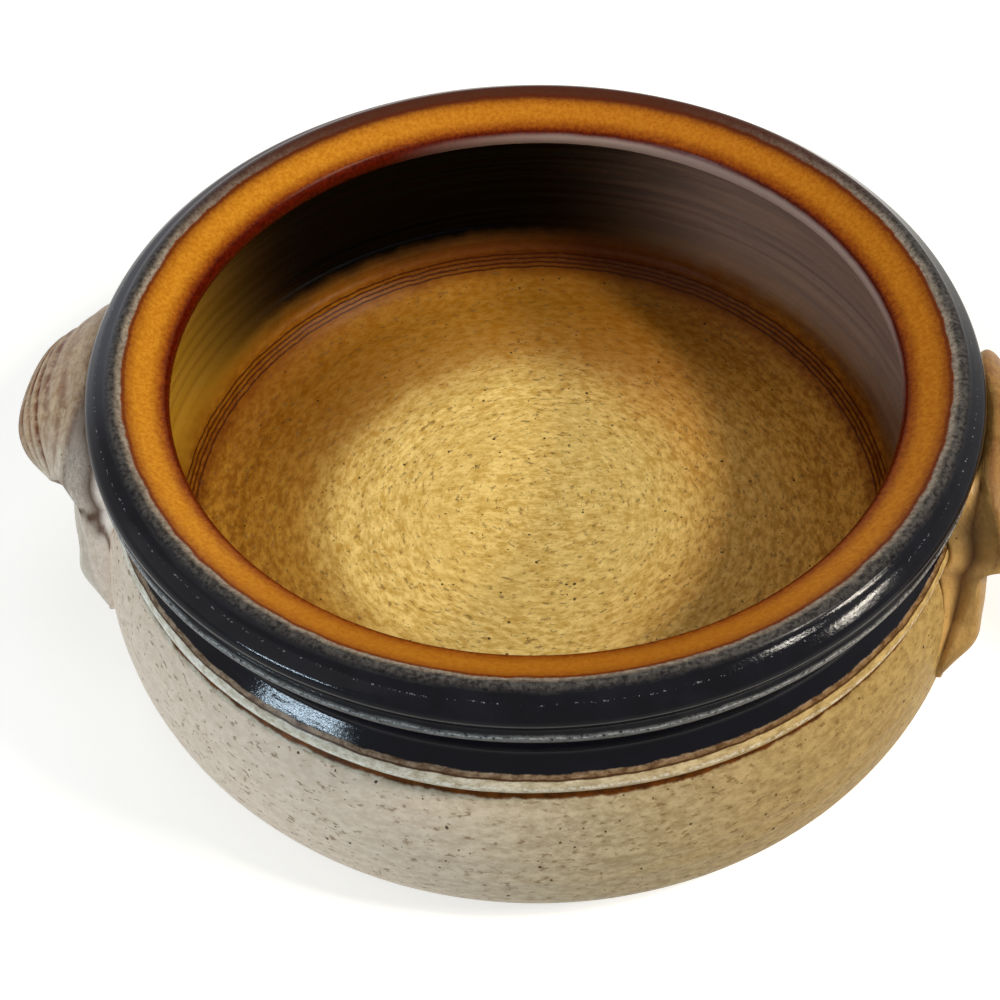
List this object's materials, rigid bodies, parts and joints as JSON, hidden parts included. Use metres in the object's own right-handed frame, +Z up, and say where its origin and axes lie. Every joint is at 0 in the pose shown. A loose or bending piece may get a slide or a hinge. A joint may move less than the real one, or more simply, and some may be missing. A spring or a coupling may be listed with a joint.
{
  "type": "lidded casserole dish",
  "caption": "Round stoneware casserole with a sloping lid seat, a ridged neck, pulled strap handles luted to its sides and a domed lid with a knob, shown lifted off beside it.",
  "frame": {"origin": "centre of the dish's flat base, on the table", "axes": "+Z up along the dish's axis, +X to the right in the picture, towards the lid that lies beside the dish, +Y away from the viewer"},
  "size_m": [0.5043, 0.2404, 0.084],
  "materials": {
    "glazed_stoneware": "speckled oatmeal belly, navy black glossy neck, amber lid seat, straw coloured floor",
    "handle_stoneware": "satin tan with brown grooves",
    "lid_stoneware": "speckled oatmeal with a navy black band, amber where it meets the seat",
    "knob_stoneware": "glossy navy black"
  },
  "bodies": {
    "dish": {"dish_body": "glazed_stoneware", "left_handle": "handle_stoneware", "right_handle": "handle_stoneware"},
    "lid": {"lid": "lid_stoneware", "lid_knob": "knob_stoneware"}
  },
  "joints": [
    {"name": "lid_turn", "type": "hinge", "parent": "dish", "child": "lid", "pos_m": [0.13196, 0, 0.063], "axis": [0, -1, 0], "range_deg": [0, 180]}
  ]
}
